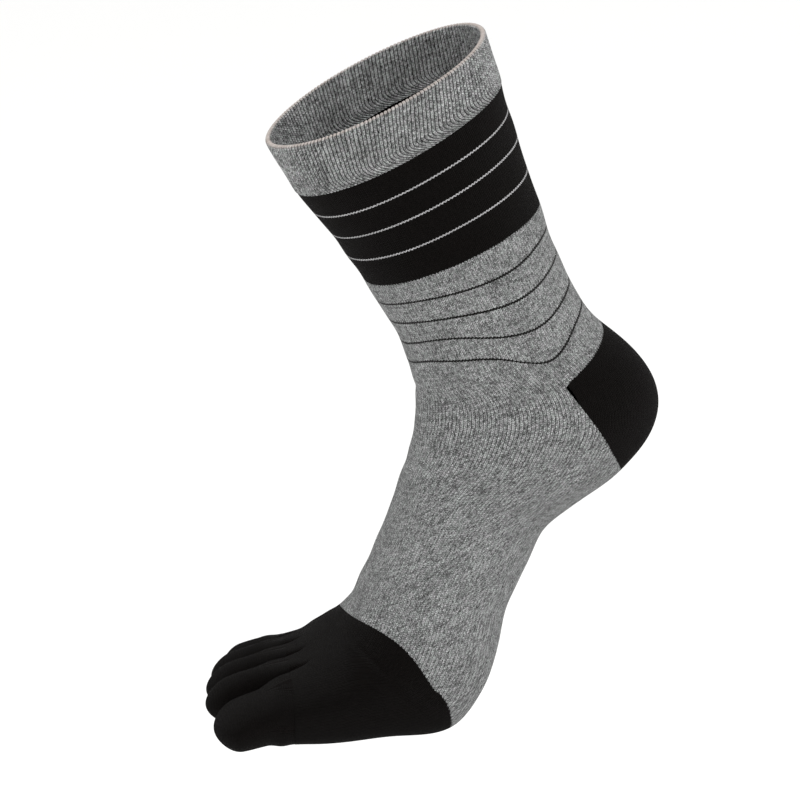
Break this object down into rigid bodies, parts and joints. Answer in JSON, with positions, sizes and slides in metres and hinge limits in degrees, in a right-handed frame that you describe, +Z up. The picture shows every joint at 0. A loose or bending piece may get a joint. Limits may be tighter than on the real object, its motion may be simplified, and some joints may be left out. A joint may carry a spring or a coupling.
{
  "type": "toe sock",
  "caption": "Short knitted sock with a ribbed cuff, a heel pocket and a separate closed pocket for each toe, in the shape it has when worn with the heel raised.",
  "frame": {"origin": "centre of the ankle, on the axis of the leg, inside the hollow where the wearer's ankle sits", "axes": "+Z up; +Y the way the toes point; -X the inner side of the foot, where the big toe is; a sock for the right foot"},
  "size_m": [0.0758, 0.1671, 0.2353],
  "materials": {
    "grey_marl": "matt grey marl knit of light and dark fibres",
    "black_yarn": "matt black knit"
  },
  "bodies": {
    "root": {"cuff": "grey_marl", "leg_band": "black_yarn", "body": "grey_marl", "heel": "black_yarn", "toe_box": "black_yarn", "big_toe": "black_yarn", "second_toe": "black_yarn", "third_toe": "black_yarn", "fourth_toe": "black_yarn", "little_toe": "black_yarn"}
  },
  "joints": []
}
